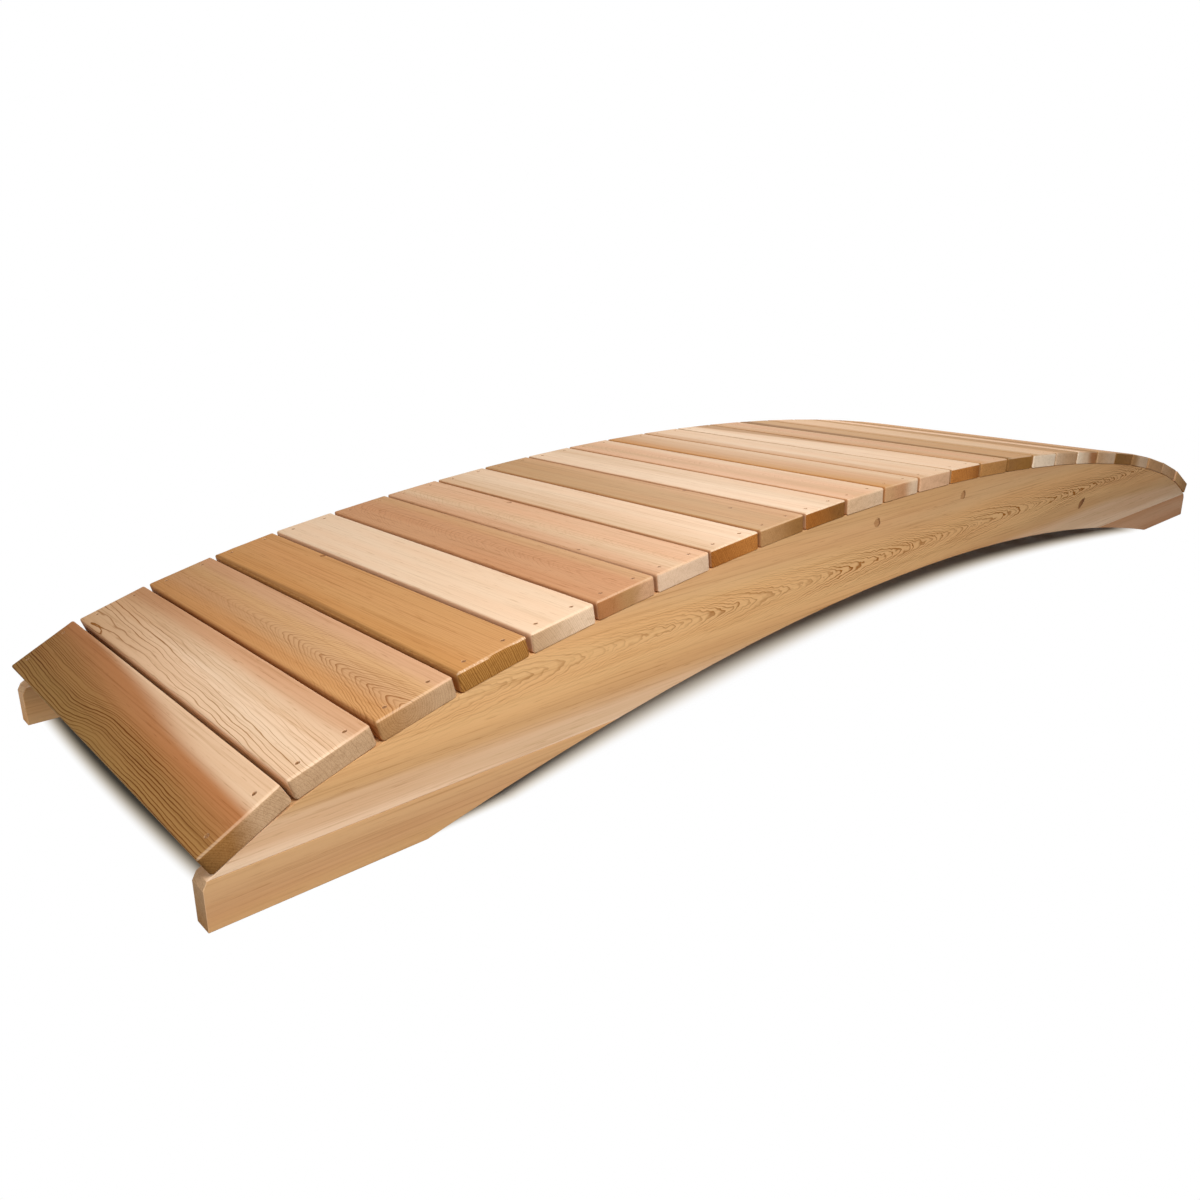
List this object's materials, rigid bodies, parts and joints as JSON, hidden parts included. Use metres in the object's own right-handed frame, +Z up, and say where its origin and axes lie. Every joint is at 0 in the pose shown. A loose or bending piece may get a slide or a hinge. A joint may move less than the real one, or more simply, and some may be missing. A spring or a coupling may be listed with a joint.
{
  "type": "arched plank garden bridge",
  "caption": "Low arched garden bridge: open-spaced cedar planks screwed across arched side beams with flat glued-on feet, for walking over a small stream or a dry bed.",
  "frame": {"origin": "on the ground, midway between the ends and between the side beams", "axes": "+X along the walkway to the right in the picture, +Y across it from the near beam to the far one, +Z up"},
  "size_m": [2.3796, 0.61, 0.2572],
  "materials": {
    "deck_planks": "bare planed cedar",
    "beam_boards": "bare planed cedar",
    "feet": "bare planed cedar",
    "screws": "dulled steel"
  },
  "bodies": {
    "root": {"plank_01": "deck_planks", "plank_02": "deck_planks", "plank_03": "deck_planks", "plank_04": "deck_planks", "plank_05": "deck_planks", "plank_06": "deck_planks", "plank_07": "deck_planks", "plank_08": "deck_planks", "plank_09": "deck_planks", "plank_10": "deck_planks", "plank_11": "deck_planks", "plank_12": "deck_planks", "plank_13": "deck_planks", "plank_14": "deck_planks", "plank_15": "deck_planks", "plank_16": "deck_planks", "plank_17": "deck_planks", "plank_18": "deck_planks", "plank_19": "deck_planks", "plank_20": "deck_planks", "plank_21": "deck_planks", "plank_22": "deck_planks", "plank_23": "deck_planks", "plank_24": "deck_planks", "plank_25": "deck_planks", "front_beam": "beam_boards", "back_beam": "beam_boards", "front_beam_left_foot": "feet", "front_beam_right_foot": "feet", "back_beam_left_foot": "feet", "back_beam_right_foot": "feet"}
  },
  "joints": []
}
